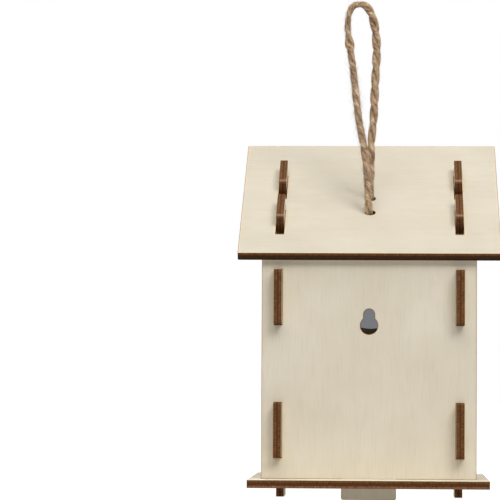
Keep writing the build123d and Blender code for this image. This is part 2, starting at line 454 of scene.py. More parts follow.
def filled_face(loops, rims, into):
    """The face inside the rims: its points, its triangles, turned anticlockwise, and
    the number that each point of the rims has among the points."""
    rows = [loop + way * d for loop, way in zip(loops, into) for d in ROWS]
    low, high = loops[0].min(0), loops[0].max(0)
    grid = np.stack(np.meshgrid(*[np.arange(low[k], high[k], GRID) for k in range(2)]), -1)
    filler = np.vstack(rows + [grid.reshape(-1, 2)])
    filler = filler[(from_loops(filler, rims) > CLEAR) & inside(filler, rims)]
    rim = np.vstack(rims)
    start, edges = 0, []
    for loop in rims:
        n = len(loop)
        edges.append(np.c_[np.arange(n), (np.arange(n) + 1) % n] + start)
        start += n
    edges = np.vstack(edges)
    flat = np.vstack([rim, filler])
    where, _, cells, sources, _, _ = delaunay_2d_cdt(
        [Vector(p) for p in flat], edges.tolist(), [], 1, 1e-9
    )
    flat = np.array([tuple(p) for p in where])
    cells = np.array(cells)
    cells = cells[inside(flat[cells].mean(1), rims)]
    a, b, c = (flat[cells[:, k]] for k in range(3))
    area = (b[:, 0] - a[:, 0]) * (c[:, 1] - a[:, 1]) - (b[:, 1] - a[:, 1]) * (c[:, 0] - a[:, 0])
    cells = np.where(area[:, None] > 0, cells, cells[:, ::-1])[np.abs(area) > 1e-14]
    of_rim = np.full(len(rim), -1)
    for number, source in enumerate(sources):
        of_rim[[i for i in source if i < len(rim)]] = number
    return flat, cells, of_rim


# %% [markdown]
# A panel is its face twice, back to back, with the cut's surface between. Its corners
# are eased by the profile below, where a Bevel modifier would lose the attributes.

# %% Panel mesh
EASE = 0.00012  # how far a corner is eased
PROFILE = np.array([(1.0, 1.0), (0.35, 0.985), (0.0, 0.93), (0.0, 0.5), (0.0, 0.0)])
PROFILE = np.vstack([PROFILE, PROFILE[-2::-1] * (1, -1)])


def panel(name, outer, holes, origin, u_way, v_way):
    """A panel 4 mm thick about the plane through origin along u_way and v_way. The cut
    surface is PROFILE round each loop: the share of EASE inwards, and the height as a
    share of half the thickness."""
    loops = [outer] + holes
    into = [inward(loop, i == 0) for i, loop in enumerate(loops)]
    rims = [loop + EASE * way for loop, way in zip(loops, into)]
    flat, cells, of_rim = filled_face(loops, rims, into)
    n = len(flat)
    points = [np.c_[flat, np.full(n, T / 2)], np.c_[flat, np.full(n, -T / 2)]]
    cut = from_loops(flat, loops)
    cut_values, ply_values = [cut, cut], [np.ones(n), -np.ones(n)]
    along_values = [np.zeros(2 * n)]
    faces = [cells, cells[:, ::-1] + n]
    made, first, middle = 2 * n, 0, PROFILE[1:-1]
    for i, (loop, way) in enumerate(zip(loops, into)):
        k = len(loop)
        ring = loop[None] + EASE * middle[:, :1, None] * way[None]
        height = np.repeat(middle[:, 1] * T / 2, k)
        points.append(np.c_[ring.reshape(-1, 2), height])
        index = np.arange(made, made + len(middle) * k).reshape(len(middle), k)
        index = np.vstack([of_rim[first : first + k], index, of_rim[first : first + k] + n])
        nxt = np.roll(index, -1, 1)
        quads = np.stack([index[:-1], index[1:], nxt[1:], nxt[:-1]], -1).reshape(-1, 4)
        faces.append(quads if i == 0 else quads[:, ::-1])
        s = np.r_[0, np.cumsum(np.linalg.norm(np.diff(loop, axis=0), axis=1))]
        cut_values.append(np.zeros(len(middle) * k))
        ply_values.append(np.repeat(middle[:, 1], k))
        along_values.append(np.tile(s, len(middle)) + 0.31 * i)
        made += len(middle) * k
        first += k
    points = np.vstack(points)
    place = np.array([u_way, v_way, np.cross(u_way, v_way)])
    values = [
        ("from_cut", np.concatenate(cut_values)),
        ("ply", np.concatenate(ply_values)),
        ("along", np.concatenate(along_values)),
    ]
    faces = [face for block in faces for face in block.tolist()]
    return mesh_object(name, origin + points @ place, faces, values)


# %% [markdown]
# ## The six panels
# These are the same outlines as the model's, in millimetres. The walls' tabs are
# 28 mm long and stand 6.5 mm out of the panel they pass through. The slots are 0.2 or
# 0.3 mm larger than what passes through them, so that fine dark lines show beside it.

# %% Measures in millimetres
MIDDLE = 7.5  # of the house, forwards from the middle of the model's box
HALF_IN, HALF_OUT = 45.0, 49.0  # from there to the end walls' inner and outer faces
SIDE_OUT = 48.6  # the side walls' outer faces
TRAY_TOP = 10.5
WALL_AT = 47  # the middle of the back and front walls' thickness
TAB, TAB_OUT, PLAY = 28, 6.5, 0.15  # length, what stands out, and room at each end
HALF_SLOT = TAB / 2 + PLAY
FINE_CORNER = 0.2  # the radius a laser leaves where none is drawn
BACK_TABS, FRONT_TABS = (21.3, 89.4), (21.3, 131.0)  # heights of their lower ends
X_WAY, Y_WAY, Z_WAY = np.eye(3)


def both_sides(inner, outer, low, high):
    """Two slots from low to high, inner to outer away from the middle on each side."""
    return [box_loop(*sorted((side * outer, side * inner)), low, high) for side in (-1, 1)]


# %% Base and walls
def tab_slots(starts):
    """Both side walls' slots in a wall, from the height of each slot's tab."""
    inner, outer = SIDE_OUT - 4.1, SIDE_OUT + 0.1
    return [loop for z in starts for loop in both_sides(inner, outer, z - PLAY, z + TAB + PLAY)]


def wall_outline(top):
    """A wall 110 mm wide on the base, with one tab down through it."""
    tab, half = TAB // 2, 55
    corners = [(-tab, 0), (tab, 0), (tab, TRAY_TOP), (half, TRAY_TOP)]
    corners += [(half, top), (-half, top), (-half, TRAY_TOP), (-tab, TRAY_TOP)]
    return rounded(corners, [1, 1] + 6 * [FINE_CORNER])


def keyhole(z_head, r_head, z_slot, r_slot):
    """A round hole for a screw's head with a narrower slot above it: the slot's round
    end, then the long way round the head from one side of the slot to the other."""
    meet = np.arccos(r_slot / r_head)
    end = np.linspace(0, np.pi, 20)
    head = np.linspace(np.pi - meet, 2 * np.pi + meet, 50)
    slot_end = np.c_[r_slot * np.cos(end), z_slot + r_slot * np.sin(end)]
    round_head = np.c_[r_head * np.cos(head), z_head + r_head * np.sin(head)]
    return along_loop(np.vstack([slot_end, round_head]) / 1000)


panels = {}
panels["base"] = panel(
    "base_tray",
    box_loop(-61.2, 61.2, -65.48, 62.5, 1),
    both_sides(44.5, 48.7, MIDDLE - HALF_SLOT, MIDDLE + HALF_SLOT)
    + [
        box_loop(-HALF_SLOT, HALF_SLOT, MIDDLE + side - 2.1, MIDDLE + side + 2.1)
        for side in (-WALL_AT, WALL_AT)
    ],
    np.array([0, 0, 0.0085]), X_WAY, Y_WAY,
)
panels["back_wall"] = panel(
    "keyhole_wall",
    wall_outline(123.8),
    tab_slots(BACK_TABS) + [keyhole(89, 4.5, 94.7, 2.9)],
    np.array([0, (MIDDLE - WALL_AT) / 1000, 0]), X_WAY, Z_WAY,
)
panels["front_wall"] = panel(
    "entrance_wall",
    wall_outline(178.0),
    tab_slots(FRONT_TABS) + [round_loop(0, 111.5, 22.5)],
    np.array([0, (MIDDLE + WALL_AT) / 1000, 0]), X_WAY, Z_WAY,
)

# %% [markdown]
# A side wall carries most of the joinery: a tab down, two back, two forwards, and two
# hooks that rise through the roof and reach over it up the slope.

# %% Side walls
ROOF_LOW = np.array([MIDDLE - 52.0, 122.3])  # the roof's low edge, on its underside
HOOKS = (21.2, 61.8)  # where the slots for the hooks start, up the slope
UNDER_ROOF = 0.1  # between the side walls and the roof
OVER_ROOF = 4.3  # from the roof's underside to the hooks' lips
HOOK_TOP, LIP = 10.5, 6.5  # above the roof's underside, and past the neck
NECK, NECK_END = 9.2, 27.8  # the hook's neck, from the start of its slot


def on_slope(s, h):
    """(y, z) in mm at s up the roof's underside and h above it."""
    return tuple(ROOF_LOW + s * UP_SLOPE[1:] + h * ROOF_NORMAL[1:])


def under_roof(y):
    """The height of a side wall's sloping edge at y: the roof's underside less the gap."""
    rise = (y - ROOF_LOW[0]) * np.tan(SLOPE)
    return ROOF_LOW[1] + rise - UNDER_ROOF / np.cos(SLOPE)


def side_outline():
    """The side wall's corners as (y, z, radius), anticlockwise from the low back one:
    the tab down, the front tabs, both hooks from the top down, and the back tabs."""
    back, front = MIDDLE - HALF_IN, MIDDLE + HALF_IN
    near, far = MIDDLE - TAB // 2, MIDDLE + TAB // 2
    out = [(back, TRAY_TOP, 0), (near, TRAY_TOP, 0), (near, 0, 1), (far, 0, 1)]
    out += [(far, TRAY_TOP, 0), (front, TRAY_TOP, 0)]
    for z in FRONT_TABS:
        tip = MIDDLE + HALF_OUT + TAB_OUT
        out += [(front, z, 0), (tip, z, 1), (tip, z + TAB, 1), (front, z + TAB, 0)]
    out += [(front, under_roof(front), 0)]
    for s in reversed(HOOKS):
        low, end = s + NECK, s + NECK_END
        out += [(*on_slope(end, -UNDER_ROOF), 0), (*on_slope(end, OVER_ROOF), 0)]
        out += [(*on_slope(end + LIP, OVER_ROOF), 0), (*on_slope(end + LIP, HOOK_TOP), 1)]
        out += [(*on_slope(low, HOOK_TOP), 1), (*on_slope(low, -UNDER_ROOF), 0)]
    out += [(back, under_roof(back), 0)]
    for z in reversed(BACK_TABS):
        tip = MIDDLE - HALF_OUT - TAB_OUT
        out += [(back, z + TAB, 0), (tip, z + TAB, 1), (tip, z, 1), (back, z, 0)]
    out = np.array(out)
    return rounded(out[:, :2], np.maximum(out[:, 2], FINE_CORNER))


# A painted highlight on the hooks' corners: its strength, where it is full, and where it has
# faded out.
HIGHLIGHT_STRENGTH, HIGHLIGHT_IN, HIGHLIGHT_REACH = 0.8, 0.3, 1.1


def paint_hook_highlights(piece):
    """Paints a highlight on the low top corner of each hook, where its rounded edge catches the
    light:
    HIGHLIGHT_STRENGTH within HIGHLIGHT_IN of a point set in from the corner, fading to 0 at
    HIGHLIGHT_REACH from it."""
    points = np.zeros(len(piece.data.vertices) * 3)
    piece.data.vertices.foreach_get("co", points)
    points = points.reshape(-1, 3)[:, 1:] * 1000
    corners = np.array([on_slope(s + NECK + HIGHLIGHT_IN, HOOK_TOP - HIGHLIGHT_IN) for s in HOOKS])
    far = np.linalg.norm(points[:, None] - corners[None], axis=-1).min(1)
    fade = np.clip((HIGHLIGHT_REACH - far) / (HIGHLIGHT_REACH - HIGHLIGHT_IN), 0, 1)
    layer = piece.data.attributes.new("hook_highlight", "FLOAT", "POINT")
    layer.data.foreach_set("value", HIGHLIGHT_STRENGTH * fade.astype(np.float32))


for name, x in (("left_side_wall", -0.0466), ("right_side_wall", 0.0466)):
    panels[name] = panel(
        "hooked_" + name, side_outline(), [], np.array([x, 0, 0]), Y_WAY, Z_WAY
    )
    paint_hook_highlights(panels[name])

# %% [markdown]
# The roof is one plate at 30 degrees, drawn flat and then laid along the slope. Its four
# slots are a little over 9 mm longer than the hooks' necks, so it can slide 9 mm.

# %% Roof
TWINE_HOLES = (46, 62.5)
low_edge = np.array([0, *ROOF_LOW]) / 1000
panels["roof"] = panel(
    "sloping_roof",
    box_loop(-67.4, 67.4, 0, 127, 1),
    [loop for s in HOOKS for loop in both_sides(44.4, 48.7, s, s + TAB)]
    + [round_loop(0, s, 2.75) for s in TWINE_HOLES],
    low_edge + ROOF_NORMAL * T / 2, X_WAY, UP_SLOPE,
)

# %% [markdown]
# ## Plywood
# The veneer is pale, with soft cloudy patches and fine short pores along the grain.
# A laser cut it, so the rim is charred brown, with the three plies still to be read in
# it, and the veneer beside a cut is toasted for a millimetre or two. The clouds and pores
# are noise on Object coordinates, stretched along the grain. A flat picture of wood would
# need unwrapping, and would not meet at the corners. The rim reads the attributes above.


# %% Plywood material
PALE, TAN = (0.790, 0.730, 0.612), (0.740, 0.676, 0.546)
GLUE = (0.200, 0.096, 0.043)
CHARRED = [(0.140, 0.060, 0.022), (0.095, 0.036, 0.012), (0.135, 0.058, 0.020)]


def plywood(name, grain, shift, cut=CHARRED, glue=GLUE, painted_shade=1.0):
    """Bare laser-cut plywood. grain is the turn that lays the veneer's grain along the
    pattern's X and shift moves the pattern. cut is the charred colour of the lower
    veneer, the core and the upper veneer, glue is the colour between them, and painted_shade
    darkens the whole veneer as painted shade, for a panel that faces the overhead light."""
    pale, tan = ((*(painted_shade * c for c in tone), 1) for tone in (PALE, TAN))
    material = bpy.data.materials.new(name)
    material.use_nodes = True
    nodes, links = material.node_tree.nodes, material.node_tree.links
    nodes.clear()

    veneer = nodes.new("NodeFrame")
    veneer.label = "Veneer: clouds and pores"
    place = nodes.new("ShaderNodeTexCoord")
    place.label, place.parent = "Place on the feeder", veneer
    lay_grain = nodes.new("ShaderNodeMapping")
    lay_grain.label, lay_grain.parent = "Grain along X", veneer
    lay_grain.inputs["Rotation"].default_value = grain
    lay_grain.inputs["Location"].default_value = shift
    links.new(place.outputs["Object"], lay_grain.inputs["Vector"])
    stretch = nodes.new("ShaderNodeMapping")
    stretch.label, stretch.parent = "Stretch along the grain", veneer
    stretch.inputs["Scale"].default_value = (0.16, 1, 1)
    links.new(lay_grain.outputs["Vector"], stretch.inputs["Vector"])
    clouds = nodes.new("ShaderNodeTexNoise")
    clouds.label, clouds.parent = "Cloudy patches", veneer
    clouds.inputs["Scale"].default_value = 34
    clouds.inputs["Detail"].default_value = 5
    clouds.inputs["Roughness"].default_value = 0.55
    links.new(lay_grain.outputs["Vector"], clouds.inputs["Vector"])
    bands = nodes.new("ShaderNodeTexNoise")
    bands.label, bands.parent = "Growth bands", veneer
    bands.inputs["Scale"].default_value = 210
    bands.inputs["Detail"].default_value = 4
    bands.inputs["Distortion"].default_value = 0.4
    links.new(stretch.outputs["Vector"], bands.inputs["Vector"])
    thin = nodes.new("ShaderNodeMapping")
    thin.label, thin.parent = "Thin along the grain", veneer
    thin.inputs["Scale"].default_value = (0.05, 1, 1)
    links.new(lay_grain.outputs["Vector"], thin.inputs["Vector"])
    pores = nodes.new("ShaderNodeTexNoise")
    pores.label, pores.parent = "Pores", veneer
    pores.inputs["Scale"].default_value = 1500
    pores.inputs["Detail"].default_value = 2
    links.new(thin.outputs["Vector"], pores.inputs["Vector"])
    add_bands = nodes.new("ShaderNodeMix")
    add_bands.label, add_bands.parent = "Clouds with bands", veneer
    add_bands.inputs["Factor"].default_value = 0.30
    links.new(clouds.outputs["Fac"], add_bands.inputs["A"])
    links.new(bands.outputs["Fac"], add_bands.inputs["B"])
    tone = nodes.new("ShaderNodeValToRGB")
    tone.label, tone.parent = "Pale to tan", veneer
    tone.color_ramp.elements[0].position, tone.color_ramp.elements[0].color = 0.36, tan
    tone.color_ramp.elements[1].position, tone.color_ramp.elements[1].color = 0.62, pale
    links.new(add_bands.outputs["Result"], tone.inputs["Fac"])
    pore_depth = nodes.new("ShaderNodeMapRange")
    pore_depth.label, pore_depth.parent = "Only the deep pores", veneer
    pore_depth.inputs["From Min"].default_value = 0.30
    pore_depth.inputs["From Max"].default_value = 0.46
    pore_depth.inputs["To Min"].default_value = 0.95
    pore_depth.inputs["To Max"].default_value = 1.0
    links.new(pores.outputs["Fac"], pore_depth.inputs["Value"])
    with_pores = nodes.new("ShaderNodeMix")
    with_pores.label, with_pores.parent = "Darken in the pores", veneer
    with_pores.data_type, with_pores.blend_type = "RGBA", "MULTIPLY"
    with_pores.inputs["Factor"].default_value = 1
    links.new(tone.outputs["Color"], with_pores.inputs["A"])
    links.new(pore_depth.outputs["Result"], with_pores.inputs["B"])

    toast = nodes.new("NodeFrame")
    toast.label = "Toasted veneer beside a cut"
    from_cut = nodes.new("ShaderNodeAttribute")
    from_cut.label, from_cut.parent = "Distance from the cut", toast
    from_cut.attribute_name = "from_cut"
    patchy = nodes.new("ShaderNodeTexNoise")
    patchy.label, patchy.parent = "Smoke comes and goes", toast
    patchy.inputs["Scale"].default_value = 160
    patchy.inputs["Detail"].default_value = 3
    links.new(place.outputs["Object"], patchy.inputs["Vector"])
    reach = nodes.new("ShaderNodeMapRange")
    reach.label, reach.parent = "How far the smoke reaches", toast
    reach.inputs["From Min"].default_value = 0.3
    reach.inputs["From Max"].default_value = 0.7
    reach.inputs["To Min"].default_value = 0.0006
    reach.inputs["To Max"].default_value = 0.0024
    links.new(patchy.outputs["Fac"], reach.inputs["Value"])
    fade = nodes.new("ShaderNodeMapRange")
    fade.label, fade.parent = "Fades away from the cut", toast
    fade.interpolation_type = "SMOOTHSTEP"
    fade.inputs["From Min"].default_value = 0.0001
    fade.inputs["To Min"].default_value = 0.55
    fade.inputs["To Max"].default_value = 0.0
    links.new(from_cut.outputs["Fac"], fade.inputs["Value"])
    links.new(reach.outputs["Result"], fade.inputs["From Max"])
    toasted = nodes.new("ShaderNodeMix")
    toasted.label, toasted.parent = "Toasted tone", toast
    toasted.data_type = "RGBA"
    toasted.inputs["B"].default_value = (0.76, 0.60, 0.40, 1)
    links.new(fade.outputs["Result"], toasted.inputs["Factor"])
    links.new(with_pores.outputs["Result"], toasted.inputs["A"])

    char = nodes.new("NodeFrame")
    char.label = "Charred cut with its plies"
    ply_at = nodes.new("ShaderNodeAttribute")
    ply_at.label, ply_at.parent = "Through the thickness", char
    ply_at.attribute_name = "ply"
    run = nodes.new("ShaderNodeAttribute")
    run.label, run.parent = "Along the cut", char
    run.attribute_name = "along"
    cut_place = nodes.new("ShaderNodeCombineXYZ")
    cut_place.label, cut_place.parent = "Place on the cut", char
    links.new(run.outputs["Fac"], cut_place.inputs["X"])
    links.new(ply_at.outputs["Fac"], cut_place.inputs["Y"])
    streak_stretch = nodes.new("ShaderNodeMapping")
    streak_stretch.label, streak_stretch.parent = "Streaks across the cut", char
    streak_stretch.inputs["Scale"].default_value = (1500, 0.9, 1)
    links.new(cut_place.outputs["Vector"], streak_stretch.inputs["Vector"])
    streaks = nodes.new("ShaderNodeTexNoise")
    streaks.label, streaks.parent = "Laser streaks", char
    streaks.inputs["Scale"].default_value = 1
    streaks.inputs["Detail"].default_value = 3
    links.new(streak_stretch.outputs["Vector"], streaks.inputs["Vector"])
    wander = nodes.new("ShaderNodeMapping")
    wander.label, wander.parent = "Fibres along the cut", char
    wander.inputs["Scale"].default_value = (120, 5, 1)
    links.new(cut_place.outputs["Vector"], wander.inputs["Vector"])
    fibres = nodes.new("ShaderNodeTexNoise")
    fibres.label, fibres.parent = "Fibre ends", char
    fibres.inputs["Scale"].default_value = 1
    fibres.inputs["Detail"].default_value = 4
    links.new(wander.outputs["Vector"], fibres.inputs["Vector"])
    waver = nodes.new("ShaderNodeMath")
    waver.label, waver.parent = "Plies waver", char
    waver.operation = "MULTIPLY_ADD"
    waver.inputs[1].default_value = 0.34
    waver.inputs[2].default_value = -0.17
    links.new(fibres.outputs["Fac"], waver.inputs[0])
    wavered = nodes.new("ShaderNodeMath")
    wavered.label, wavered.parent = "Place in the plies", char
    links.new(ply_at.outputs["Fac"], wavered.inputs[0])
    links.new(waver.outputs["Value"], wavered.inputs[1])
    depth = nodes.new("ShaderNodeMapRange")
    depth.label, depth.parent = "From one face to the other", char
    depth.inputs["From Min"].default_value = -1
    links.new(wavered.outputs["Value"], depth.inputs["Value"])
    plies = nodes.new("ShaderNodeValToRGB")
    plies.label, plies.parent = "Veneer, glue, core, glue, veneer", char
    ramp = plies.color_ramp
    stops = [(0.00, cut[0]), (0.29, cut[0]), (0.33, glue), (0.37, cut[1])]
    stops += [(0.63, cut[1]), (0.67, glue), (0.71, cut[2]), (1.00, cut[2])]
    stops = [(position, (*colour, 1)) for position, colour in stops]
    ramp.elements[0].position, ramp.elements[0].color = stops[0]
    ramp.elements[1].position, ramp.elements[1].color = stops[-1]
    for position, colour in stops[1:-1]:
        ramp.elements.new(position).color = colour
    links.new(depth.outputs["Result"], plies.inputs["Fac"])
    streak_tone = nodes.new("ShaderNodeMapRange")
    streak_tone.label, streak_tone.parent = "Streaks lighten and darken", char
    streak_tone.inputs["From Min"].default_value = 0.3
    streak_tone.inputs["From Max"].default_value = 0.7
    streak_tone.inputs["To Min"].default_value = 0.65
    streak_tone.inputs["To Max"].default_value = 1.45
    links.new(streaks.outputs["Fac"], streak_tone.inputs["Value"])
    streaked = nodes.new("ShaderNodeMix")
    streaked.label, streaked.parent = "Streaked plies", char
    streaked.data_type, streaked.blend_type = "RGBA", "MULTIPLY"
    streaked.inputs["Factor"].default_value = 1
    links.new(plies.outputs["Color"], streaked.inputs["A"])
    links.new(streak_tone.outputs["Result"], streaked.inputs["B"])

    # The painted highlight on the hooks' corners lightens the char there.
    hook_highlight = nodes.new("ShaderNodeAttribute")
    hook_highlight.label, hook_highlight.parent = "Painted highlight on hook corners", char
    hook_highlight.attribute_name = "hook_highlight"
    highlighted_char = nodes.new("ShaderNodeMix")
    highlighted_char.label, highlighted_char.parent = "Char lightened by painted highlight", char
    highlighted_char.data_type = "RGBA"
    highlighted_char.inputs["B"].default_value = (0.36, 0.215, 0.135, 1)
    links.new(hook_highlight.outputs["Fac"], highlighted_char.inputs["Factor"])
    links.new(streaked.outputs["Result"], highlighted_char.inputs["A"])

    whole = nodes.new("NodeFrame")
    whole.label = "Whole surface"
    on_cut = nodes.new("ShaderNodeMapRange")
    on_cut.label, on_cut.parent = "1 on the cut, 0 on the veneer", whole
    on_cut.interpolation_type = "SMOOTHSTEP"
    on_cut.inputs["From Min"].default_value = 0.00008
    on_cut.inputs["From Max"].default_value = 0.00030
    on_cut.inputs["To Min"].default_value = 1
    on_cut.inputs["To Max"].default_value = 0
    links.new(from_cut.outputs["Fac"], on_cut.inputs["Value"])
    colour = nodes.new("ShaderNodeMix")
    colour.label, colour.parent = "Veneer or char", whole
    colour.data_type = "RGBA"
    links.new(on_cut.outputs["Result"], colour.inputs["Factor"])
    links.new(toasted.outputs["Result"], colour.inputs["A"])
    links.new(highlighted_char.outputs["Result"], colour.inputs["B"])
    grain_height = nodes.new("ShaderNodeMix")
    grain_height.label, grain_height.parent = "Height: pores or streaks", whole
    links.new(on_cut.outputs["Result"], grain_height.inputs["Factor"])
    links.new(pore_depth.outputs["Result"], grain_height.inputs["A"])
    links.new(streaks.outputs["Fac"], grain_height.inputs["B"])
    relief = nodes.new("ShaderNodeBump")
    relief.label, relief.parent = "Fine relief", whole
    relief.inputs["Strength"].default_value = 0.35
    relief.inputs["Distance"].default_value = 0.00012
    links.new(grain_height.outputs["Result"], relief.inputs["Height"])
    rough = nodes.new("ShaderNodeMapRange")
    rough.label, rough.parent = "Char is duller", whole
    rough.inputs["To Min"].default_value = 0.58
    rough.inputs["To Max"].default_value = 0.78
    links.new(on_cut.outputs["Result"], rough.inputs["Value"])
    shader = nodes.new("ShaderNodeBsdfPrincipled")
    shader.label, shader.parent = "Bare plywood", whole
    shader.inputs["Specular IOR Level"].default_value = 0.10
    links.new(colour.outputs["Result"], shader.inputs["Base Color"])
    links.new(rough.outputs["Result"], shader.inputs["Roughness"])
    links.new(relief.outputs["Normal"], shader.inputs["Normal"])
    result = nodes.new("ShaderNodeOutputMaterial")
    result.label = "Plywood"
    links.new(shader.outputs["BSDF"], result.inputs["Surface"])
    for i, node in enumerate(n for n in nodes if n.type != "FRAME"):
        node.location = (240 * (i // 3), -320 * (i % 3))
    return material


# %% [markdown]
# The panels were cut from one sheet, but each from another place in it, so each gets
# its own part of the pattern. The grain stands upright in the walls and runs across the
# tray and the roof. The edges of those two are charred in other tones than the rest.

# %% Grain of each panel
FLAT, UPRIGHT = (0, 0, 0), (0, np.pi / 2, 0)
TRAY_CUT = [(0.215, 0.105, 0.055), (0.105, 0.036, 0.012), (0.140, 0.066, 0.018)]
ROOF_CUT = [(0.040, 0.019, 0.008), (0.055, 0.024, 0.009), (0.165, 0.066, 0.021)]
TRAY_GLUE, ROOF_GLUE = (0.045, 0.016, 0.006), (0.090, 0.038, 0.014)
# Painted shade on the roof's veneer, which faces the overhead lamp, takes back part of the
# light it gets.
ROOF_PAINTED_SHADE = 0.82
woods = {
    "base": plywood("tray_plywood", FLAT, (0.2, 0.1, 0), TRAY_CUT, TRAY_GLUE),
    "back_wall": plywood("back_plywood", UPRIGHT, (0.7, 0.3, 0.1)),
    "front_wall": plywood("front_plywood", UPRIGHT, (1.3, 0.8, 0.4)),
    "left_side_wall": plywood("left_plywood", UPRIGHT, (2.1, 0.2, 0.7)),
    "right_side_wall": plywood("right_plywood", UPRIGHT, (2.9, 1.1, 0.5)),
    "roof": plywood("roof_plywood", FLAT, (3.7, 0.6, 0.9), ROOF_CUT, ROOF_GLUE, ROOF_PAINTED_SHADE),
}
for node, piece in panels.items():
    piece.data.materials.append(woods[node])
print("plywoods", len(woods))

# %% [markdown]
# ## Jute
# Each ply is a bundle of straw-coloured fibres. The pattern follows the ply's own UV
# map, u along it and v around it, turned so that the fibres slant across the ply. On
# Object coordinates the fibres would all run one way, however the twine bends.


# %% Jute material
def jute(name, dark, mid, light):
    """Jute whose fibres vary in colour, from a dark tone that is painted shade in its grooves,
    through mid, to a light tone that is a painted highlight on its fibres.
    """
    material = bpy.data.materials.new(name)
    material.use_nodes = True
    nodes, links = material.node_tree.nodes, material.node_tree.links
    nodes.clear()

    fibre = nodes.new("NodeFrame")
    fibre.label = "Fibres along the ply"
    own = nodes.new("ShaderNodeUVMap")
    own.label, own.parent = "Place on the ply", fibre
    own.uv_map = "UVMap"
    slant = nodes.new("ShaderNodeMapping")
    slant.label, slant.parent = "Slant of the yarns", fibre
    slant.inputs["Rotation"].default_value = (0, 0, 0.62)
    links.new(own.outputs["UV"], slant.inputs["Vector"])
    long = nodes.new("ShaderNodeMapping")
    long.label, long.parent = "Long and thin", fibre
    long.inputs["Scale"].default_value = (0.8, 15, 1)
    links.new(slant.outputs["Vector"], long.inputs["Vector"])
    strands = nodes.new("ShaderNodeTexNoise")
    strands.label, strands.parent = "Single fibres", fibre
    strands.inputs["Scale"].default_value = 1
    strands.inputs["Detail"].default_value = 5
    strands.inputs["Roughness"].default_value = 0.7
    links.new(long.outputs["Vector"], strands.inputs["Vector"])
    place = nodes.new("ShaderNodeTexCoord")
    place.label, place.parent = "Place on the feeder", fibre
    blotch = nodes.new("ShaderNodeTexNoise")
    blotch.label, blotch.parent = "Uneven dye", fibre
    blotch.inputs["Scale"].default_value = 300
    blotch.inputs["Detail"].default_value = 4
    links.new(place.outputs["Object"], blotch.inputs["Vector"])
    both = nodes.new("ShaderNodeMix")
    both.label, both.parent = "Fibres over dye", fibre
    both.inputs["Factor"].default_value = 0.24
    links.new(strands.outputs["Fac"], both.inputs["A"])
    links.new(blotch.outputs["Fac"], both.inputs["B"])
    # The ramp follows nearly the same noise as the relief: painted shade where it is low,
    # painted highlight where it is high.
    tone = nodes.new("ShaderNodeValToRGB")
    tone.label, tone.parent = "Painted groove shade to fibre highlight", fibre
    tone.color_ramp.elements[0].position, tone.color_ramp.elements[0].color = 0.42, dark
    tone.color_ramp.elements[1].position, tone.color_ramp.elements[1].color = 0.60, light
    tone.color_ramp.elements.new(0.50).color = mid
    links.new(both.outputs["Result"], tone.inputs["Fac"])

    body = nodes.new("NodeFrame")
    body.label = "Dull, hairy surface"
    relief = nodes.new("ShaderNodeBump")
    relief.label, relief.parent = "Fibre relief", body
    relief.inputs["Strength"].default_value = 1.0
    relief.inputs["Distance"].default_value = 0.0004
    links.new(strands.outputs["Fac"], relief.inputs["Height"])
    shader = nodes.new("ShaderNodeBsdfPrincipled")
    shader.label, shader.parent = "Jute", body
    shader.inputs["Roughness"].default_value = 0.85
    shader.inputs["Specular IOR Level"].default_value = 0.2
    shader.inputs["Sheen Weight"].default_value = 0.15
    shader.inputs["Sheen Roughness"].default_value = 0.6
    links.new(tone.outputs["Color"], shader.inputs["Base Color"])
    links.new(relief.outputs["Normal"], shader.inputs["Normal"])
    result = nodes.new("ShaderNodeOutputMaterial")
    result.label = "Jute"
    links.new(shader.outputs["BSDF"], result.inputs["Surface"])
    for i, node in enumerate(n for n in nodes if n.type != "FRAME"):
        node.location = (240 * (i // 2), -320 * (i % 2))
    return material


# In both sets the dark tone is painted shade in the fibre grooves and the light one a painted
# highlight on the raised fibres, over the jute's own uneven colour.
TWINE_TONES = (0.13, 0.065, 0.027, 1), (0.50, 0.320, 0.180, 1), (0.92, 0.72, 0.51, 1)
HAIR_TONES = (0.36, 0.25, 0.15, 1), (0.52, 0.39, 0.27, 1), (0.72, 0.59, 0.44, 1)
twine_jute = jute("jute", *TWINE_TONES)
hair_jute = jute("jute_hairs", *HAIR_TONES)
loop_hairs.data.materials.append(hair_jute)
for piece in [loop, *knots.values()]:
    piece.data.materials.append(twine_jute)
print("jutes", twine_jute.name, hair_jute.name)

# %% [markdown]
# ## Floor
# The feeder stands on a pale sheet that runs past the view on all sides. A sheet lit only
# by the lamps comes out grey near the feeder, so this one glows a little, and a little
# more as the camera sees it than as the feeder does.

# %% Floor
FLOOR_HALF = 6
floor_points = FLOOR_HALF * np.array([(-1, -1, 0), (1, -1, 0), (1, 1, 0), (-1, 1, 0)], float)
floor = mesh_object("floor", floor_points, [[0, 1, 2, 3]])
paper = bpy.data.materials.new("pale_paper")
paper.use_nodes = True
nodes, links = paper.node_tree.nodes, paper.node_tree.links
nodes.clear()

sheet = nodes.new("NodeFrame")
sheet.label = "Matte sheet with a low glow"
paper_shader = nodes.new("ShaderNodeBsdfPrincipled")
paper_shader.label, paper_shader.parent = "Matte paper", sheet
paper_shader.location = (0, 0)
paper_shader.inputs["Base Color"].default_value = (0.20, 0.20, 0.20, 1)
paper_shader.inputs["Emission Color"].default_value = (1, 0.975, 0.94, 1)
paper_shader.inputs["Emission Strength"].default_value = 0.38
paper_shader.inputs["Roughness"].default_value = 0.9
paper_shader.inputs["Specular IOR Level"].default_value = 0.0

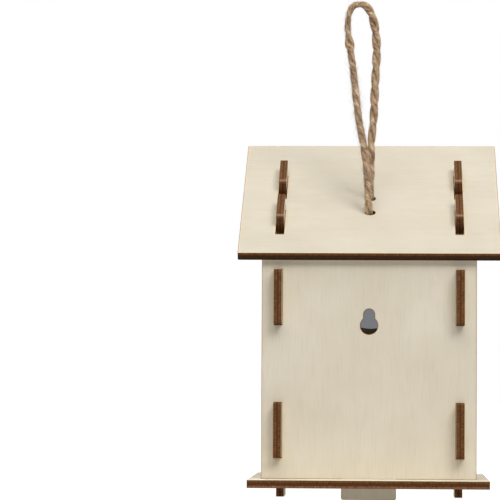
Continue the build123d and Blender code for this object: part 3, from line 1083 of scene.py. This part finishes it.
seen_glow = nodes.new("NodeFrame")
seen_glow.label = "More glow, as it is seen"
to_eye = nodes.new("ShaderNodeLightPath")
to_eye.label, to_eye.parent, to_eye.location = "Is it seen straight?", seen_glow, (0, -700)
glow = nodes.new("ShaderNodeEmission")
glow.label, glow.parent, glow.location = "Lifts the paper to white", seen_glow, (0, -1100)
glow.inputs["Strength"].default_value = 0.60
no_glow = nodes.new("ShaderNodeMixShader")
no_glow.label, no_glow.parent, no_glow.location = "Only as it is seen", seen_glow, (260, -900)
links.new(to_eye.outputs["Is Camera Ray"], no_glow.inputs["Fac"])
links.new(glow.outputs["Emission"], no_glow.inputs[2])

add_glow = nodes.new("ShaderNodeAddShader")
add_glow.label, add_glow.location = "Paper and its glow", (520, -300)
links.new(paper_shader.outputs["BSDF"], add_glow.inputs[0])
links.new(no_glow.outputs["Shader"], add_glow.inputs[1])
paper_out = nodes.new("ShaderNodeOutputMaterial")
paper_out.label, paper_out.location = "Floor", (760, -300)
links.new(add_glow.outputs["Shader"], paper_out.inputs["Surface"])
floor.data.materials.append(paper)

# %% [markdown]
# ## Grey card
# Far behind the house, on the line from the eye through the keyhole and the entrance,
# hangs a grey card. It is 20 times as far as the keyhole, and so small that it shows only
# there, where it keeps the hole from looking like a white patch on a white wall.

# %% Grey card
CARD_SIDES, CARD_TIMES_AS_FAR, CARD_RADIUS = 48, 20, 0.3
keyhole_middle = Vector((0, -0.0415, 0.0895))
turns = np.linspace(0, 2 * np.pi, CARD_SIDES, endpoint=False)
card_middle = np.array(eye + (keyhole_middle - eye) * CARD_TIMES_AS_FAR)
card_round = CARD_RADIUS * np.c_[np.cos(turns), 0 * turns, np.sin(turns)]
card = mesh_object("far_card", card_middle + card_round, [list(range(CARD_SIDES))])
grey = bpy.data.materials.new("mid_grey_card")
grey.use_nodes = True
nodes, links = grey.node_tree.nodes, grey.node_tree.links
nodes.clear()
grey_glow = nodes.new("ShaderNodeEmission")
grey_glow.label, grey_glow.location = "One even grey", (0, 0)
grey_glow.inputs["Color"].default_value = (0.188, 0.191, 0.202, 1)
grey_out = nodes.new("ShaderNodeOutputMaterial")
grey_out.label, grey_out.location = "Card", (240, 0)
links.new(grey_glow.outputs["Emission"], grey_out.inputs["Surface"])
card.data.materials.append(grey)

# %% [markdown]
# ## Surround
# A white room would light the feeder flatly from all sides. So the surround is white
# where it is seen behind the feeder, but lights it much less than that, and more from
# overhead than from the sides.

# %% Surround
world = bpy.data.worlds.new("surround")
scene.world = world
world.use_nodes = True
nodes, links = world.node_tree.nodes, world.node_tree.links
nodes.clear()

behind = nodes.new("NodeFrame")
behind.label = "What is seen behind the feeder"
seen = nodes.new("ShaderNodeBackground")
seen.label, seen.parent, seen.location = "White behind the feeder", behind, (0, 0)
seen.inputs["Color"].default_value = (1, 1, 1, 1)
seen.inputs["Strength"].default_value = 1.0

around = nodes.new("NodeFrame")
around.label = "What lights the feeder"
direction = nodes.new("ShaderNodeTexCoord")
direction.label, direction.parent, direction.location = "Direction", around, (-720, -300)
height = nodes.new("ShaderNodeSeparateXYZ")
height.label, height.parent, height.location = "Height of the direction", around, (-480, -300)
links.new(direction.outputs["Generated"], height.inputs["Vector"])
brighter = nodes.new("ShaderNodeMapRange")
brighter.label, brighter.parent, brighter.location = "Brighter overhead", around, (-240, -300)
brighter.inputs["From Min"].default_value = 0.0
brighter.inputs["To Min"].default_value = 0.13
brighter.inputs["To Max"].default_value = 0.40
links.new(height.outputs["Z"], brighter.inputs["Value"])
lighting = nodes.new("ShaderNodeBackground")
lighting.label, lighting.parent, lighting.location = "Soft light on it", around, (0, -300)
lighting.inputs["Color"].default_value = (1.0, 0.99, 0.975, 1)
links.new(brighter.outputs["Result"], lighting.inputs["Strength"])

ray = nodes.new("ShaderNodeLightPath")
ray.label, ray.location = "Is it seen straight?", (0, 500)
choose = nodes.new("ShaderNodeMixShader")
choose.label, choose.location = "Light, or white if seen", (300, 100)
links.new(ray.outputs["Is Camera Ray"], choose.inputs["Fac"])
links.new(lighting.outputs["Background"], choose.inputs[1])
links.new(seen.outputs["Background"], choose.inputs[2])
world_out = nodes.new("ShaderNodeOutputWorld")
world_out.label, world_out.location = "Surround", (540, 100)
links.new(choose.outputs["Shader"], world_out.inputs["Surface"])
print("surround", len(nodes), "nodes")

# %% [markdown]
# ## Lamps
# A lamp from the upper right gives the tabs their soft shadows. A very large one overhead
# darkens the wall under the eaves, and a third keeps the entrance side from going dull.
# All three are softboxes: the larger the box, the softer the edge of the shadow.


# %% Lamps
LAMP_COLOUR = (1.0, 0.985, 0.955)
FEEDER_MIDDLE = (0, 0, 0.10)


def softbox(name, place, size, power):
    """A square lamp at place, turned to the middle of the feeder."""
    data = bpy.data.lights.new(name, "AREA")
    data.shape, data.size, data.energy = "SQUARE", size, power
    data.color = LAMP_COLOUR
    lamp = bpy.data.objects.new(name, data)
    turn = (Vector(FEEDER_MIDDLE) - Vector(place)).to_track_quat("-Z", "Y")
    lamp.matrix_world = Matrix.Translation(place) @ turn.to_matrix().to_4x4()
    scene.collection.objects.link(lamp)
    return lamp


lamps = [
    softbox("key_lamp", (0.85, -1.30, 1.45), 0.9, 14.5),
    softbox("overhead_lamp", (0.15, -1.0, 2.3), 2.4, 47.0),
    softbox("far_side_lamp", (-0.7, 1.6, 1.1), 1.2, 16.0),
]
print("lamps", {lamp.name: lamp.data.energy for lamp in lamps})
scene.view_settings.view_transform = "Standard"

# %% [markdown]
# ## Hand over
# The panels and the twine take the places of their plain models, and ride on the same
# bodies: the walls and tray on the house, the twine on the roof that lifts.

# %% Rides, replacements and the cord
for node, piece in panels.items():
    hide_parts(node)
    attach(piece, "lifting_roof" if node == "roof" else "house")
for node, piece in knots.items():
    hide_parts(node)
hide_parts("hanging_cord")
for piece in [loop, loop_hairs, *knots.values()]:
    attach(piece, "lifting_roof")
